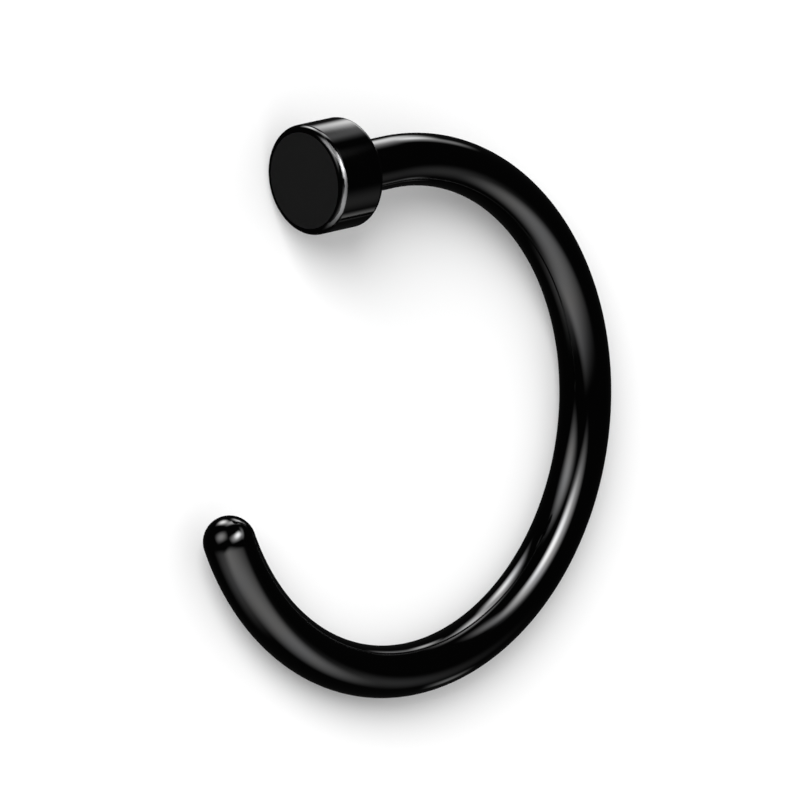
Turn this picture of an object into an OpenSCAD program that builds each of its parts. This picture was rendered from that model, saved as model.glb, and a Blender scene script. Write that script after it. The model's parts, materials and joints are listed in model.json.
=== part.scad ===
// Open hoop nose ring with a flat disc end, lying on its side on the floor.
// Millimetres, +Z up, the floor at z = 0 and the origin at the middle of the ring's footprint.
// Seen from above, the hoop's mouth opens towards -Y, with the disc on the -X side of it.

/* [Wire] */
// Diameter of the round wire, 20 gauge
wire_d = 0.8; // [0.6:0.05:1]
// Inside diameter of the hoop
inner_d = 7; // [6:0.5:10]
// Angle that the round stretch of the hoop sweeps, in degrees
arc_sweep = 251; // [230:0.5:262]
// Straight stretch between the round stretch and the back of the disc
straight_len = 0.83; // [0.5:0.01:1.5]
// Step between the wire's skin and the ground dome on its free tip
dome_step = 0.006; // [0.004:0.001:0.02]

/* [Disc] */
// Diameter of the disc
disc_d = 1.68; // [1.5:0.01:2.5]
// Thickness of the disc
disc_t = 0.88; // [0.6:0.01:1]
// Width of the 45 degree bevel round both rims
bevel = 0.07; // [0.03:0.01:0.12]
// Depth of the blind socket in the disc's back
socket_depth = 0.45; // [0.3:0.05:0.5]
// Gap between the wire's end and the socket, at its wall and at its floor
socket_gap = 0.01; // [0.005:0.005:0.03]

/* [Hidden] */

wire_r = wire_d / 2;
dome_r = wire_r - dome_step;
disc_r = disc_d / 2;
socket_r = wire_r + socket_gap;
seat_len = socket_depth - socket_gap;
hoop_r = inner_d / 2 + wire_r; // to the middle of the wire

// Laid flat, the hoop is centred on the origin and its arc lies evenly about +Y, from the free
// tip round to the bend, where the straight stretch starts.
tip_angle = 90 - arc_sweep / 2;
bend_angle = 90 + arc_sweep / 2;
function along(angle) = [cos(angle), sin(angle), 0];
tip_pos = hoop_r * along(tip_angle);
bend_pos = hoop_r * along(bend_angle);
disc_dir = along(bend_angle + 90); // along the straight stretch, towards the disc
back_pos = bend_pos + straight_len * disc_dir;
disc_pos = back_pos + disc_t / 2 * disc_dir;

// The balance point: the mean of the centres of the arc, the straight stretch, the disc and the
// dome, each weighted by its volume.
wire_area = PI * wire_r * wire_r;
arc_half = PI * arc_sweep / 360; // in radians
volumes = [
    wire_area * hoop_r * 2 * arc_half,
    wire_area * (straight_len + seat_len),
    PI * (disc_r * disc_r * disc_t - socket_r * socket_r * socket_depth),
    wire_area * wire_r * 2 / 3
];
centres = [
    hoop_r * sin(arc_sweep / 2) / arc_half * along(90),
    bend_pos + (straight_len + seat_len) / 2 * disc_dir,
    disc_pos,
    tip_pos + wire_r * 3 / 8 * along(tip_angle - 90)
];
function total(list, i = 0) = i == len(list) - 1 ? list[i] : list[i] + total(list, i + 1);
balance = total([for (i = [0:len(volumes) - 1]) volumes[i] * centres[i]]) / total(volumes);

// The disc is fatter than the wire, so the lying ring leans. It touches the floor at the disc's
// back rim and at its foot, the point of the hoop that lies straight past the balance point.
rim_pos = back_pos + bevel * disc_dir;
span = balance - rim_pos;
half_b = rim_pos * span;
foot_reach = (sqrt(half_b * half_b - span * span * (rim_pos * rim_pos - hoop_r * hoop_r)) - half_b)
    / (span * span);
foot_dir = (rim_pos + foot_reach * span) / hoop_r;
lean = asin((disc_r - wire_r) / (hoop_r - rim_pos * foot_dir));
lean_axis = cross([0, 0, 1], foot_dir);

// How far the leaning ring reaches along a direction of the floor's frame. The direction is first
// turned back into the laid-flat frame.
function laid_flat(w) = w * cos(lean) - cross(lean_axis, w) * sin(lean)
    + lean_axis * (lean_axis * w) * (1 - cos(lean));
function arc_reach(w) = abs(atan2(w.x, w.y)) < arc_sweep / 2
    ? hoop_r * norm([w.x, w.y]) : max(tip_pos * w, bend_pos * w);
function disc_reach(w, slant) = disc_pos * w + max(
    disc_t / 2 * abs(slant) + (disc_r - bevel) * sqrt(1 - slant * slant),
    (disc_t / 2 - bevel) * abs(slant) + disc_r * sqrt(1 - slant * slant));
function flat_reach(w) = max(arc_reach(w) + wire_r, disc_reach(w, w * disc_dir));
function reach(x, y, z) = flat_reach(laid_flat([x, y, z]));
rest_pos = [
    (reach(-1, 0, 0) - reach(1, 0, 0)) / 2,
    (reach(0, -1, 0) - reach(0, 1, 0)) / 2,
    reach(0, 0, -1)
];

wire_fn = 96; // round the wire and the disc
hoop_fn = 240; // round the hoop

// The pieces are drawn with the bend on +X and the straight stretch running along +Y from it.
// This turns them to the laid-flat frame, leans them and sets them down on the floor.
module lying() {
    translate(rest_pos) rotate(a = lean, v = lean_axis) rotate([0, 0, bend_angle]) children();
}

// The wire: its round stretch, its straight stretch with the seated end, and its domed tip.
module hoop_wire() {
    color("#141416") lying() {
        rotate_extrude(angle = arc_sweep, start = -arc_sweep, $fn = hoop_fn)
            translate([hoop_r, 0]) circle(wire_r, $fn = wire_fn);
        translate([hoop_r, 0, 0]) rotate([-90, 0, 0])
            cylinder(h = straight_len + seat_len, r = wire_r, $fn = wire_fn);
        rotate([0, 0, -arc_sweep]) translate([hoop_r, 0, 0]) sphere(dome_r, $fn = wire_fn);
    }
}

// The disc: a turned blank with bevelled rims and a blind socket for the wire's end in its back.
module disc_stop() {
    color("#1b1b1d") lying() translate([hoop_r, straight_len, 0]) rotate([-90, 0, 0])
        rotate_extrude($fn = wire_fn) polygon([
            [socket_r, 0],
            [disc_r - bevel, 0],
            [disc_r, bevel],
            [disc_r, disc_t - bevel],
            [disc_r - bevel, disc_t],
            [0, disc_t],
            [0, socket_depth],
            [socket_r, socket_depth]
        ]);
}

hoop_wire();
disc_stop();
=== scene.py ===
# Open hoop nose ring with a flat disc end, in polished steel with a black coat, lying on its side.
# Shapes are worked out in millimetres in the frame's own axes, and put into the meshes in metres.
import json
import math

import bpy
import numpy as np
from mathutils import Matrix, Vector


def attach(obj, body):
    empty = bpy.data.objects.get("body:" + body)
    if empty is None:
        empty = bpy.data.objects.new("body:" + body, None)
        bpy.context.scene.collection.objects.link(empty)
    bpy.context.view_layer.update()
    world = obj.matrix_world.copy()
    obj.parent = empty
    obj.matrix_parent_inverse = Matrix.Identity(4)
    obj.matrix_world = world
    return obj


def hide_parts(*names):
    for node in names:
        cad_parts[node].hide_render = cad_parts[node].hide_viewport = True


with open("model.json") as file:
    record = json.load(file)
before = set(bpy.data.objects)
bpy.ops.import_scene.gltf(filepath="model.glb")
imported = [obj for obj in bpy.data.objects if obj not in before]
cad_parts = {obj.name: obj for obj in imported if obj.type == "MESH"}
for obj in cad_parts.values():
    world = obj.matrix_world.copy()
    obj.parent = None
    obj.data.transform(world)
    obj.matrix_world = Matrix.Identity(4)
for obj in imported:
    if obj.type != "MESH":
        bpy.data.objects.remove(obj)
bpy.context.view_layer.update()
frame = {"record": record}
scene = bpy.context.scene
mm = 0.001

# Where the ring lies comes from the record's mounts: the disc's back, and the ring's plane, which
# holds both the disc's axis and the free tip's.
mounts = {mount["name"]: mount for mount in frame["record"]["mounts"]}


# A mount's place in the frame, its metres divided by the length of a millimetre.
def mountPoint(name):
    return np.array(mounts[name]["pos_m"]) / mm


# A mount's axis, divided by its own length.
def mountAxis(name):
    axis = np.array(mounts[name]["axis"])
    return axis / np.linalg.norm(axis)


discAxis = mountAxis("disc_face")
discBack = mountPoint("disc_back")
ringNormal = np.cross(mountAxis("free_tip"), discAxis)
ringNormal /= np.linalg.norm(ringNormal)
outward = np.cross(discAxis, ringNormal)  # from the hoop's centre to the bend behind the disc


# Carries a circle along a path: each point is its station's centre, plus the station's radius times
# the cosine of the turn across the path and the sine of the turn over it. Stations go in rows, turns
# in columns, and one pole closes each end. flow is kept as an attribute for the finish: the cosine
# and sine of the turn, and the length run along the profile, in millimetres. Where marks are given,
# three numbers for each station, they are kept too.
def carriedCircle(name, centres, across, over, radii, sides, marks=None):
    turn = np.linspace(0, 2 * np.pi, sides, endpoint=False)
    cosine = np.cos(turn)[None, :, None]
    sine = np.sin(turn)[None, :, None]
    spoke = across[:, None, :] * cosine + over[:, None, :] * sine
    rings = centres[1:-1, None, :] + spoke[1:-1] * radii[1:-1, None, None]
    points = np.concatenate([centres[:1], rings.reshape(-1, 3), centres[-1:]])
    rows = len(centres) - 2
    grid = 1 + np.arange(rows)[:, None] * sides + np.arange(sides)[None, :]
    following = np.roll(grid, -1, axis=1)
    quads = np.stack([grid[:-1], following[:-1], following[1:], grid[1:]], axis=-1).reshape(-1, 4)
    firstFan = np.stack([np.zeros(sides, int), following[0], grid[0]], axis=-1)
    lastFan = np.stack([np.full(sides, len(points) - 1), grid[-1], following[-1]], axis=-1)
    faces = quads.tolist() + firstFan.tolist() + lastFan.tolist()
    mesh = bpy.data.meshes.new(name)
    mesh.from_pydata((points * mm).tolist(), [], faces)
    steps = np.linalg.norm(np.diff(centres, axis=0), axis=1) ** 2 + np.diff(radii) ** 2
    run = np.concatenate([[0], np.cumsum(np.sqrt(steps))])
    flow = np.zeros((rows, sides, 3))
    flow[..., 0] = np.cos(turn)
    flow[..., 1] = np.sin(turn)
    flow[..., 2] = run[1:-1, None]
    flow = np.concatenate([[[0, 0, run[0]]], flow.reshape(-1, 3), [[0, 0, run[-1]]]])
    mesh.attributes.new("flow", "FLOAT_VECTOR", "POINT").data.foreach_set("vector", flow.ravel())
    if marks is not None:
        spread = np.concatenate([marks[:1], np.repeat(marks[1:-1], sides, axis=0), marks[-1:]])
        mesh.attributes.new("marks", "FLOAT_VECTOR", "POINT").data.foreach_set("vector", spread.ravel())
    mesh.polygons.foreach_set("use_smooth", np.ones(len(mesh.polygons), bool))
    mesh.update()
    piece = bpy.data.objects.new(name, mesh)
    scene.collection.objects.link(piece)
    return piece


# A quarter round of a profile, as distances along and out from its centre: the cosine and sine of an
# angle that runs evenly from start to end.
def quarterRound(radius, startDeg, endDeg, steps):
    angle = np.radians(np.linspace(startDeg, endDeg, steps))
    return radius * np.cos(angle), radius * np.sin(angle)


# The wire, 20 gauge: its end seated in the disc, the straight stretch, the hoop and the domed tip.
wire = {
    "wireWidth": 0.8,
    "hoopInside": 7.0,
    "hoopSweepDeg": 251,
    "straightLength": 0.83,
    "seatLength": 0.44,  # inside the disc
    "seatRound": 0.04,  # round the edge of the seated end
    "endSteps": 4,  # across the seated end
    "roundSteps": 6,  # round its edge
    "straightSteps": 16,
    "hoopSteps": 420,
    "domeSteps": 30,
    "sides": 96,
}

# The hoop's centre lies one hoop radius inwards from the bend, where the straight stretch ends.
hoopRadius = wire["hoopInside"] / 2 + wire["wireWidth"] / 2
bend = discBack - wire["straightLength"] * discAxis
hoopCentre = bend - hoopRadius * outward


# The path is a straight line followed by an arc: along the arc the centre is the hoop's centre plus
# the hoop's radius times the cosine of the angle outward and the sine of the angle back along the
# disc's axis. At either end the radius shrinks along a quarter circle to the pole.
def makeHoopWire():
    radius = wire["wireWidth"] / 2
    # the seated end and the straight stretch, as distances before the bend
    ahead, out = quarterRound(wire["seatRound"], 0, 90, wire["roundSteps"])
    total = wire["straightLength"] + wire["seatLength"]
    before = np.concatenate([
        np.full(wire["endSteps"], total),
        total - wire["seatRound"] + ahead[1:],
        np.linspace(total - wire["seatRound"], 0, wire["straightSteps"] + 1)[1:-1],
    ])
    radii = np.concatenate([
        np.linspace(0, radius - wire["seatRound"], wire["endSteps"]),
        radius - wire["seatRound"] + out[1:],
        np.full(wire["straightSteps"] - 1, radius),
    ])
    centres = bend + before[:, None] * discAxis
    across = np.tile(outward, (len(before), 1))
    # the hoop
    angle = np.radians(np.linspace(0, wire["hoopSweepDeg"], wire["hoopSteps"] + 1))[:, None]
    spoke = outward * np.cos(angle) - discAxis * np.sin(angle)
    tipAxis = -outward * np.sin(angle[-1]) - discAxis * np.cos(angle[-1])
    # the dome
    rise, width = quarterRound(radius, 90, 0, wire["domeSteps"])
    dome = hoopCentre + hoopRadius * spoke[-1] + rise[1:, None] * tipAxis
    centres = np.concatenate([centres, hoopCentre + hoopRadius * spoke, dome])
    across = np.concatenate([across, spoke, np.tile(spoke[-1], (len(dome), 1))])
    radii = np.concatenate([radii, np.full(len(spoke), radius), width[1:]])
    over = np.tile(-ringNormal, (len(centres), 1))
    return carriedCircle("hoopWire", centres, across, over, radii, wire["sides"])


# The disc, turned from rod: both rims rounded, and a blind socket for the wire's end in its back.
disc = {
    "width": 1.68,
    "thickness": 0.88,
    "rimRound": 0.1,
    "socketWidth": 0.82,
    "socketDepth": 0.45,
    "socketRound": 0.02,  # at the socket's mouth
    "hold": 0.01,  # how near to a flat's edge its last station stands, so that the flat stays flat
    "socketSteps": 6,
    "rimSteps": 24,
    "sideSteps": 5,
    "faceSteps": 8,
    "sides": 192,
}


# A profile turned about the disc's axis, as distances along the axis from the disc's back and out from
# it. Rims are quarter circles: the cosine and sine of an angle times the rim's radius.
def makeDiscStop():
    discRadius = disc["width"] / 2
    thickness = disc["thickness"]
    socket = disc["socketWidth"] / 2
    depth = disc["socketDepth"]
    rim = disc["rimRound"]
    mouth = disc["socketRound"]
    hold = disc["hold"]
    mouthAlong, mouthOut = quarterRound(mouth, 0, 90, disc["socketSteps"])
    rimAlong, rimOut = quarterRound(rim, 0, 90, disc["rimSteps"])
    side = np.linspace(rim + hold, thickness - rim - hold, disc["sideSteps"])
    flatFace = np.linspace(discRadius - rim - hold, 0, disc["faceSteps"])
    sections = [
        ([depth, depth, depth], [0, socket - hold, socket]),  # the socket's floor
        ([depth - hold, mouth + hold], [socket, socket]),  # its wall
        (mouth - mouthOut, socket + mouth - mouthAlong),  # its mouth
        ([0, 0], [socket + mouth + hold, discRadius - rim - hold]),  # the back
        (rim - rimAlong, discRadius - rim + rimOut),  # the back rim
        (side, np.full(len(side), discRadius)),
        (thickness - rim + rimOut, discRadius - rim + rimAlong),  # the front rim
        (np.full(len(flatFace), thickness), flatFace),
    ]
    along, out = np.concatenate(sections, axis=1)
    # marks: the face's satin, the front rim and side where the painted highlight may lie, and how far
    # they lie from the face's edge
    run = np.concatenate([[0], np.cumsum(np.hypot(np.diff(along), np.diff(out)))])
    faceStart = len(along) - len(flatFace)
    fromFace = run[faceStart - 1] - run
    satin = np.arange(len(along)) >= faceStart
    rimAndSide = (fromFace > 0) & (along > rim)
    marks = np.stack([satin, rimAndSide, np.maximum(fromFace, 0)], axis=-1).astype(float)
    centres = discBack + along[:, None] * discAxis
    across = np.tile(outward, (len(along), 1))
    over = np.tile(np.cross(discAxis, outward), (len(along), 1))
    return carriedCircle("discStop", centres, across, over, out, disc["sides"], marks)


hoopWire = makeHoopWire()
discStop = makeDiscStop()
for piece in (hoopWire, discStop):
    print("piece made:", piece.name, len(piece.data.polygons), "faces")


# Adds a node, sets the values given for its inputs, and joins the sockets given for them. In a Mix
# node of colours, input 0 is the share, and 6 and 7 are the two colours.
def addNode(tree, kind, inputs=None, **settings):
    node = tree.nodes.new(kind)
    for key, value in settings.items():
        setattr(node, key, value)
    for key, value in (inputs or {}).items():
        if isinstance(value, bpy.types.NodeSocket):
            tree.links.new(value, node.inputs[key])
        else:
            node.inputs[key].default_value = value
    return node


# A material with nothing in its tree yet.
def newMaterial(name):
    material = bpy.data.materials.new(name)
    material.use_nodes = True
    material.node_tree.nodes.clear()
    return material, material.node_tree


blackCoat = {
    "coolBlack": (0.056, 0.058, 0.062, 1),
    "warmBlack": (0.064, 0.062, 0.059, 1),
    "roughness": 0.035,  # of the clean polish
    "lineRoughness": 0.025,  # what the polishing lines add
    "lineDepth": 0.00012,  # in millimetres
    "lineDetail": 3,
    "wireLines": (12, 12, 0.3),  # how often they change round the wire and along it
    "discLines": (0.6, 0.6, 30),  # the same for the disc, where they run round it
    "hazeRoughness": 0.03,  # what the haze adds
    "hazeSize": 0.6,  # in millimetres
    "hazeDetail": 2,
    "hazeFrom": 0.45,  # the values of its noise between which it sets in
    "hazeTo": 0.75,
}


# Black coat on polished steel. Fine lines run where the polishing wheel or the lathe tool ran: noise
# on the flow attribute, stretched along the lines, gives their roughness and their depth. A softer
# noise on the piece's own coordinates gives haze and a slight change of tone.
def makeBlackCoat(name, stretch):
    material, tree = newMaterial(name)
    flow = addNode(tree, "ShaderNodeAttribute", attribute_name="flow")
    drawn = addNode(tree, "ShaderNodeVectorMath", {
        0: flow.outputs["Vector"], 1: stretch}, operation="MULTIPLY")
    lines = addNode(tree, "ShaderNodeTexNoise", {
        "Vector": drawn.outputs[0], "Scale": 1, "Detail": blackCoat["lineDetail"]})
    coords = addNode(tree, "ShaderNodeTexCoord")
    haze = addNode(tree, "ShaderNodeTexNoise", {
        "Vector": coords.outputs["Object"], "Scale": 1 / (blackCoat["hazeSize"] * mm),
        "Detail": blackCoat["hazeDetail"]})
    hazed = addNode(tree, "ShaderNodeMapRange", {
        "Value": haze.outputs["Fac"], "From Min": blackCoat["hazeFrom"], "From Max": blackCoat["hazeTo"],
        "To Min": blackCoat["roughness"], "To Max": blackCoat["roughness"] + blackCoat["hazeRoughness"]})
    polished = addNode(tree, "ShaderNodeMath", {
        0: lines.outputs["Fac"], 1: blackCoat["lineRoughness"], 2: hazed.outputs[0],
    }, operation="MULTIPLY_ADD")
    tone = addNode(tree, "ShaderNodeMix", {
        0: haze.outputs["Fac"], 6: blackCoat["coolBlack"], 7: blackCoat["warmBlack"]}, data_type="RGBA")
    grooves = addNode(tree, "ShaderNodeBump", {
        "Height": lines.outputs["Fac"], "Distance": blackCoat["lineDepth"] * mm})
    shader = addNode(tree, "ShaderNodeBsdfPrincipled", {
        "Base Color": tone.outputs[2], "Metallic": 1, "Roughness": polished.outputs[0],
        "Normal": grooves.outputs[0]})
    addNode(tree, "ShaderNodeOutputMaterial", {"Surface": shader.outputs[0]})
    return material


faceAndRim = {
    "satinColour": (0.16, 0.16, 0.162, 1),
    "satinRoughness": 0.42,
    # the front rim's painted highlight: a lighter, rougher line of metal that stands in for the rim's
    # highlight
    "rimHighlightColour": (0.25, 0.25, 0.254, 1),
    "rimHighlightRoughness": 0.42,
    "rimHighlightFrom": -0.42,  # the sines of the turn between which the painted highlight sets in
    "wornTo": -0.68,
    "rimHighlightMiddle": 0.125,  # how far from the face's edge it runs at the top of the disc, in millimetres
    "rimHighlightShift": -0.1,  # what the square of the turn's cosine adds to that
    "rimHighlightLeast": 0.01,  # its half width where it is narrowest and widest, in millimetres
    "rimHighlightMost": 0.068,
    "rimHighlightFull": 0.6,  # the share of the half width inside which the painted highlight is at full strength
    "patches": (3, 3, 20),  # how often it comes and goes round the rim and across it
    "patchDetail": 5,
    "patchRoughness": 0.6,
    "patchFrom": 0.3,  # the values of that noise where the line is narrowest and widest
    "patchTo": 0.7,
    "patchSeed": 13.5,  # another seed puts the painted highlight in other places
}


# Lays the satin of the disc's face over the black coat, and a painted highlight over both: a line of
# lighter, rougher metal on the front rim that stands in for the rim's highlight. The line lies where the
# distance from the face's edge is within a half width of its middle. A noise widens and narrows it, its
# middle moves towards the face by the square of the turn's cosine, and it keeps to the upper part of the
# turn, the side where the highlight shows.
def satinFaceAndPaintedHighlight(material):
    tree = material.node_tree
    shader = tree.nodes["Principled BSDF"]
    tone = shader.inputs["Base Color"].links[0].from_socket
    polished = shader.inputs["Roughness"].links[0].from_socket
    marks = addNode(tree, "ShaderNodeAttribute", attribute_name="marks")
    shares = addNode(tree, "ShaderNodeSeparateXYZ", {0: marks.outputs["Vector"]})
    flow = addNode(tree, "ShaderNodeAttribute", attribute_name="flow")
    turned = addNode(tree, "ShaderNodeSeparateXYZ", {0: flow.outputs["Vector"]})
    spread = addNode(tree, "ShaderNodeVectorMath", {
        0: flow.outputs["Vector"], 1: faceAndRim["patches"]}, operation="MULTIPLY")
    patches = addNode(tree, "ShaderNodeTexNoise", {
        "Vector": spread.outputs[0], "W": faceAndRim["patchSeed"], "Scale": 1,
        "Detail": faceAndRim["patchDetail"], "Roughness": faceAndRim["patchRoughness"],
    }, noise_dimensions="4D")
    squared = addNode(tree, "ShaderNodeMath", {
        0: turned.outputs["X"], 1: turned.outputs["X"]}, operation="MULTIPLY")
    middle = addNode(tree, "ShaderNodeMath", {
        0: squared.outputs[0], 1: faceAndRim["rimHighlightShift"], 2: faceAndRim["rimHighlightMiddle"],
    }, operation="MULTIPLY_ADD")
    beside = addNode(tree, "ShaderNodeMath", {
        0: shares.outputs["Z"], 1: middle.outputs[0]}, operation="SUBTRACT")
    distance = addNode(tree, "ShaderNodeMath", {0: beside.outputs[0]}, operation="ABSOLUTE")
    half = addNode(tree, "ShaderNodeMapRange", {
        "Value": patches.outputs["Fac"], "From Min": faceAndRim["patchFrom"],
        "From Max": faceAndRim["patchTo"], "To Min": faceAndRim["rimHighlightLeast"],
        "To Max": faceAndRim["rimHighlightMost"]})
    reach = addNode(tree, "ShaderNodeMath", {
        0: distance.outputs[0], 1: half.outputs[0]}, operation="DIVIDE")
    line = addNode(tree, "ShaderNodeMapRange", {
        "Value": reach.outputs[0], "From Min": 1, "From Max": faceAndRim["rimHighlightFull"],
    }, interpolation_type="SMOOTHSTEP")
    upward = addNode(tree, "ShaderNodeMapRange", {
        "Value": turned.outputs["Y"], "From Min": faceAndRim["rimHighlightFrom"],
        "From Max": faceAndRim["wornTo"]}, interpolation_type="SMOOTHSTEP")
    upperLine = addNode(tree, "ShaderNodeMath", {
        0: line.outputs[0], 1: upward.outputs[0]}, operation="MULTIPLY")
    worn = addNode(tree, "ShaderNodeMath", {
        0: upperLine.outputs[0], 1: shares.outputs["Y"]}, operation="MULTIPLY")
    # the satin laid over the coat, and the rim's painted highlight over both
    faced = addNode(tree, "ShaderNodeMapRange", {
        "Value": shares.outputs["X"], "To Min": polished, "To Max": faceAndRim["satinRoughness"]})
    rough = addNode(tree, "ShaderNodeMapRange", {
        "Value": worn.outputs[0], "To Min": faced.outputs[0], "To Max": faceAndRim["rimHighlightRoughness"]})
    faceTone = addNode(tree, "ShaderNodeMix", {
        0: shares.outputs["X"], 6: tone, 7: faceAndRim["satinColour"]}, data_type="RGBA")
    # the rim's painted highlight: lighter metal along the line
    colour = addNode(tree, "ShaderNodeMix", {
        0: worn.outputs[0], 6: faceTone.outputs[2], 7: faceAndRim["rimHighlightColour"]}, data_type="RGBA")
    tree.links.new(colour.outputs[2], shader.inputs["Base Color"])
    tree.links.new(rough.outputs[0], shader.inputs["Roughness"])


coatedWire = makeBlackCoat("coatedWire", blackCoat["wireLines"])
coatedDisc = makeBlackCoat("coatedDisc", blackCoat["discLines"])
satinFaceAndPaintedHighlight(coatedDisc)
hoopWire.data.materials.append(coatedWire)
discStop.data.materials.append(coatedDisc)
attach(hoopWire, "root")
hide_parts("hoop_wire")
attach(discStop, "root")
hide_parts("disc_stop")
print("finishes made")

# Soft cards round the ring, which show in its polish alone. at is a direction from the ring: the
# compass angle from +Y towards +X, and the height above the floor, in degrees. distance is in
# millimetres, half holds the half sizes as shares of it, and turn is the card's slant in degrees. fade
# is how far the light fades in from the side edges and from the other two, as shares of the half sizes.
# Where a card doesn't give one of them, it has the plain card's.
plainCard = {"distance": 150, "turn": 0, "fade": (1, 1)}
studioCards = {
    "overheadCard": {"at": (-140, 65), "half": (0.7, 0.4), "glow": 5},
    "overheadCore": {"at": (-130, 60), "half": (0.5, 0.28), "glow": 12, "distance": 25, "turn": -20},
    "backCard": {"at": (175, 8), "half": (0.5, 0.6), "glow": 3, "turn": -35},
    "lowCard": {"at": (-110, -2), "half": (0.6, 0.25), "glow": 5, "turn": 5},
    "underCard": {
        "at": (-125, -25), "half": (0.35, 0.4), "glow": 16, "distance": 60, "fade": (1.2, 1.2)},
    "sideCard": {"at": (-80, -12), "half": (0.15, 0.15), "glow": 4, "distance": 40},
    "lineCard": {"at": (-73, -6), "half": (0.25, 0.2), "glow": 1.5, "fade": (0.6, 1)},
    "rightCard": {"at": (70, 40), "half": (1, 0.75), "glow": 1.6, "turn": -10, "fade": (0.6, 1)},
    "rightLowCard": {"at": (95, 5), "half": (0.6, 0.8), "glow": 0.8, "turn": 5, "fade": (1.2, 1.2)},
    "nearCard": {
        "at": (-97, -15), "half": (0.25, 0.33), "glow": 9, "distance": 11, "turn": -20,
        "fade": (1.2, 1.4)},
    "innerCard": {"at": (-90, 50), "half": (0.2, 0.6), "glow": 2, "distance": 25, "turn": -10},
    "frontCard": {"at": (15, 30), "half": (0.4, 0.5), "glow": 0.3},
    "rimCard": {"at": (12, -4), "half": (0.1, 0.2), "glow": 0.8, "distance": 60},
}


# A card is flat and faces the hoop's centre: its middle lies at its distance in its direction from
# there, and its corners lie its half sizes away along its turned sides. Its light is its glow times
# four smooth ramps, one in from each edge, and adds to what is seen through it.
def makeCard(name, card):
    compass, height = np.radians(card["at"])
    turn = math.radians(card["turn"])
    level = np.array([math.sin(compass), math.cos(compass), 0])
    east = np.array([math.cos(compass), -math.sin(compass), 0])
    upright = np.array([0, 0, 1])
    toCard = level * math.cos(height) + upright * math.sin(height)
    north = upright * math.cos(height) - level * math.sin(height)
    sideways = east * math.cos(turn) + north * math.sin(turn)
    upward = north * math.cos(turn) - east * math.sin(turn)
    halfWidth, halfHeight = card["half"]
    corners = np.array([(-1, -1), (1, -1), (1, 1), (-1, 1)])
    points = hoopCentre + card["distance"] * (
        toCard + corners[:, :1] * halfWidth * sideways + corners[:, 1:] * halfHeight * upward)
    mesh = bpy.data.meshes.new(name)
    mesh.from_pydata((points * mm).tolist(), [], [(0, 1, 2, 3)])
    mesh.uv_layers.new(name="UVMap").data.foreach_set("uv", ((corners + 1) / 2).astype(float).ravel())
    material, tree = newMaterial(name)
    coords = addNode(tree, "ShaderNodeTexCoord")
    # -1 to 1 across the card, both ways
    centred = addNode(tree, "ShaderNodeVectorMath", {
        0: coords.outputs["UV"], 1: (2, 2, 0), 2: (-1, -1, 0)}, operation="MULTIPLY_ADD")
    split = addNode(tree, "ShaderNodeSeparateXYZ", {0: centred.outputs[0]})
    glow = card["glow"]
    for axis, fade in enumerate(card["fade"]):
        for side in (-1, 1):
            ramp = addNode(tree, "ShaderNodeMapRange", {
                "Value": split.outputs[axis], "From Min": side, "From Max": side * (1 - fade),
            }, interpolation_type="SMOOTHSTEP")
            dimmed = addNode(tree, "ShaderNodeMath", {0: glow, 1: ramp.outputs[0]}, operation="MULTIPLY")
            glow = dimmed.outputs[0]
    light = addNode(tree, "ShaderNodeEmission", {"Strength": glow})
    clear = addNode(tree, "ShaderNodeBsdfTransparent")
    added = addNode(tree, "ShaderNodeAddShader", {0: light.outputs[0], 1: clear.outputs[0]})
    addNode(tree, "ShaderNodeOutputMaterial", {"Surface": added.outputs[0]})
    plane = bpy.data.objects.new(name, mesh)
    scene.collection.objects.link(plane)
    plane.data.materials.append(material)
    plane.visible_camera = False
    plane.visible_diffuse = False
    plane.visible_shadow = False


for cardName, card in studioCards.items():
    makeCard(cardName, {**plainCard, **card})

studio = {
    "floorHalf": 2000,  # in millimetres
    "floorColour": (0.93, 0.93, 0.93, 1),
    "roomColour": (1, 1, 1, 1),
    "skyGlow": 0.65,  # the pale room that lights the floor
    "darkGlow": 0.015,  # the dark room that the polish shows between the cards
    "keyGlow": 3.05,
    "keySpreadDeg": 40,
    "keyFrom": (-0.1, -0.91, 0.62),  # the direction from the ring to the key light
}


# The floor is a flat square at height nought, its corners half its side away both ways. The polish
# doesn't show it.
def makeFloor():
    half = studio["floorHalf"] * mm
    mesh = bpy.data.meshes.new("floor")
    corners = [(-half, -half, 0), (half, -half, 0), (half, half, 0), (-half, half, 0)]
    mesh.from_pydata(corners, [], [(0, 1, 2, 3)])
    floor = bpy.data.objects.new("floor", mesh)
    scene.collection.objects.link(floor)
    material, tree = newMaterial("floorPaint")
    paint = addNode(tree, "ShaderNodeBsdfDiffuse", {"Color": studio["floorColour"]})
    addNode(tree, "ShaderNodeOutputMaterial", {"Surface": paint.outputs[0]})
    mesh.materials.append(material)
    floor.visible_glossy = False


# The world is the pale room, apart from what the polish shows of it.
def makeWorld():
    world = bpy.data.worlds.new("studio")
    scene.world = world
    world.use_nodes = True
    tree = world.node_tree
    tree.nodes.clear()
    pale = addNode(tree, "ShaderNodeBackground", {
        "Color": studio["roomColour"], "Strength": studio["skyGlow"]})
    dark = addNode(tree, "ShaderNodeBackground", {
        "Color": studio["roomColour"], "Strength": studio["darkGlow"]})
    rays = addNode(tree, "ShaderNodeLightPath")
    mixed = addNode(tree, "ShaderNodeMixShader", {
        0: rays.outputs["Is Glossy Ray"], 1: pale.outputs[0], 2: dark.outputs[0]})
    addNode(tree, "ShaderNodeOutputWorld", {"Surface": mixed.outputs[0]})


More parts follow.
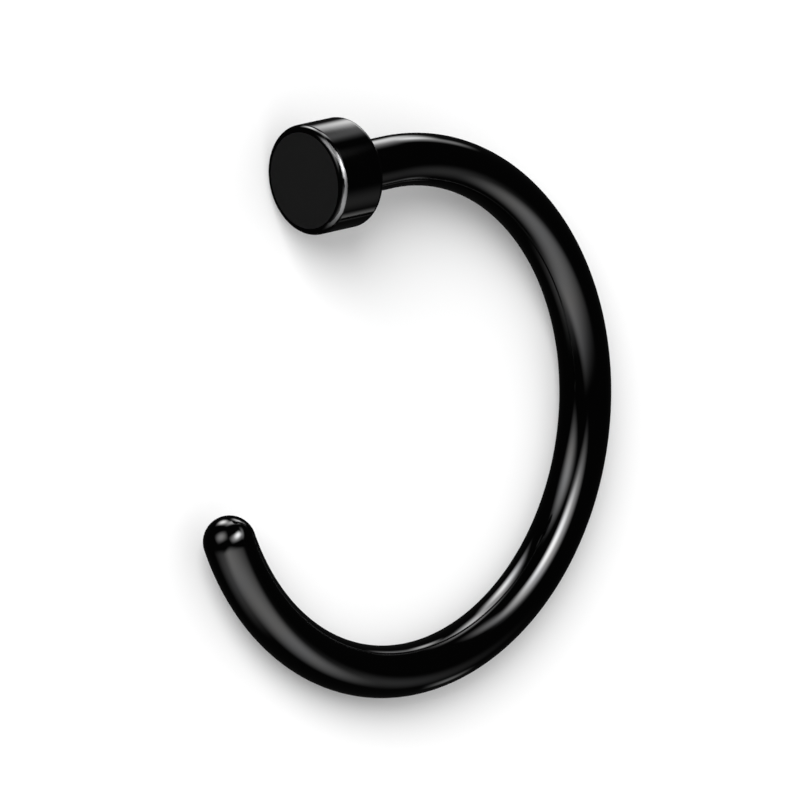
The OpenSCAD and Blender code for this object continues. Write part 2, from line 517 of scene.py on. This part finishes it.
# The key light is a broad sun that gives the ring its soft shadow. The polish doesn't show it.
def makeKeyLight():
    sun = bpy.data.lights.new("keyLight", "SUN")
    sun.angle = math.radians(studio["keySpreadDeg"])
    sun.energy = studio["keyGlow"]
    lamp = bpy.data.objects.new("keyLight", sun)
    scene.collection.objects.link(lamp)
    lamp.rotation_mode = "QUATERNION"
    lamp.rotation_quaternion = Vector(studio["keyFrom"]).to_track_quat("Z", "Y")
    lamp.visible_glossy = False


makeFloor()
makeWorld()
makeKeyLight()
scene.view_settings.view_transform = "Standard"
print("light and floor made")

# The camera stands at the photograph's angle to the ring, rolled as the upright ring asks. Angles are
# in degrees, and the rest is in millimetres.
photoView = {
    "azimuth": 22.2,
    "elevation": 48.1,
    "roll": 94.6,
    "lens": 540,
    "sensor": 36,
    "distance": 181.7,
    "aimRight": -0.03,
    "aimUp": 0.24,
    "nearest": 10,
    "farthest": 3000,
}


# The camera looks at the hoop's centre, moved a little across the picture, from its distance away
# along the view's direction. Its right and up are the level and rising sides of the view, turned by
# the roll: right is level times the cosine plus rise times the sine.
def makeCamera():
    azimuth = math.radians(photoView["azimuth"])
    elevation = math.radians(photoView["elevation"])
    roll = math.radians(photoView["roll"])
    away = np.array([math.sin(azimuth), -math.cos(azimuth), 0])
    upright = np.array([0, 0, 1])
    back = away * math.cos(elevation) + upright * math.sin(elevation)
    rise = upright * math.cos(elevation) - away * math.sin(elevation)
    level = np.array([math.cos(azimuth), math.sin(azimuth), 0])
    right = level * math.cos(roll) + rise * math.sin(roll)
    up = rise * math.cos(roll) - level * math.sin(roll)
    aim = hoopCentre + photoView["aimRight"] * right + photoView["aimUp"] * up
    place = aim + photoView["distance"] * back
    lens = bpy.data.cameras.new("photoCamera")
    lens.lens = photoView["lens"]
    lens.sensor_width = photoView["sensor"]
    lens.clip_start = photoView["nearest"] * mm
    lens.clip_end = photoView["farthest"] * mm
    camera = bpy.data.objects.new("photoCamera", lens)
    scene.collection.objects.link(camera)
    matrix = np.eye(4)
    matrix[:3, 0] = right
    matrix[:3, 1] = up
    matrix[:3, 2] = back
    matrix[:3, 3] = place * mm
    camera.matrix_world = Matrix(matrix.tolist())
    return camera


scene.camera = makeCamera()
print("camera made")
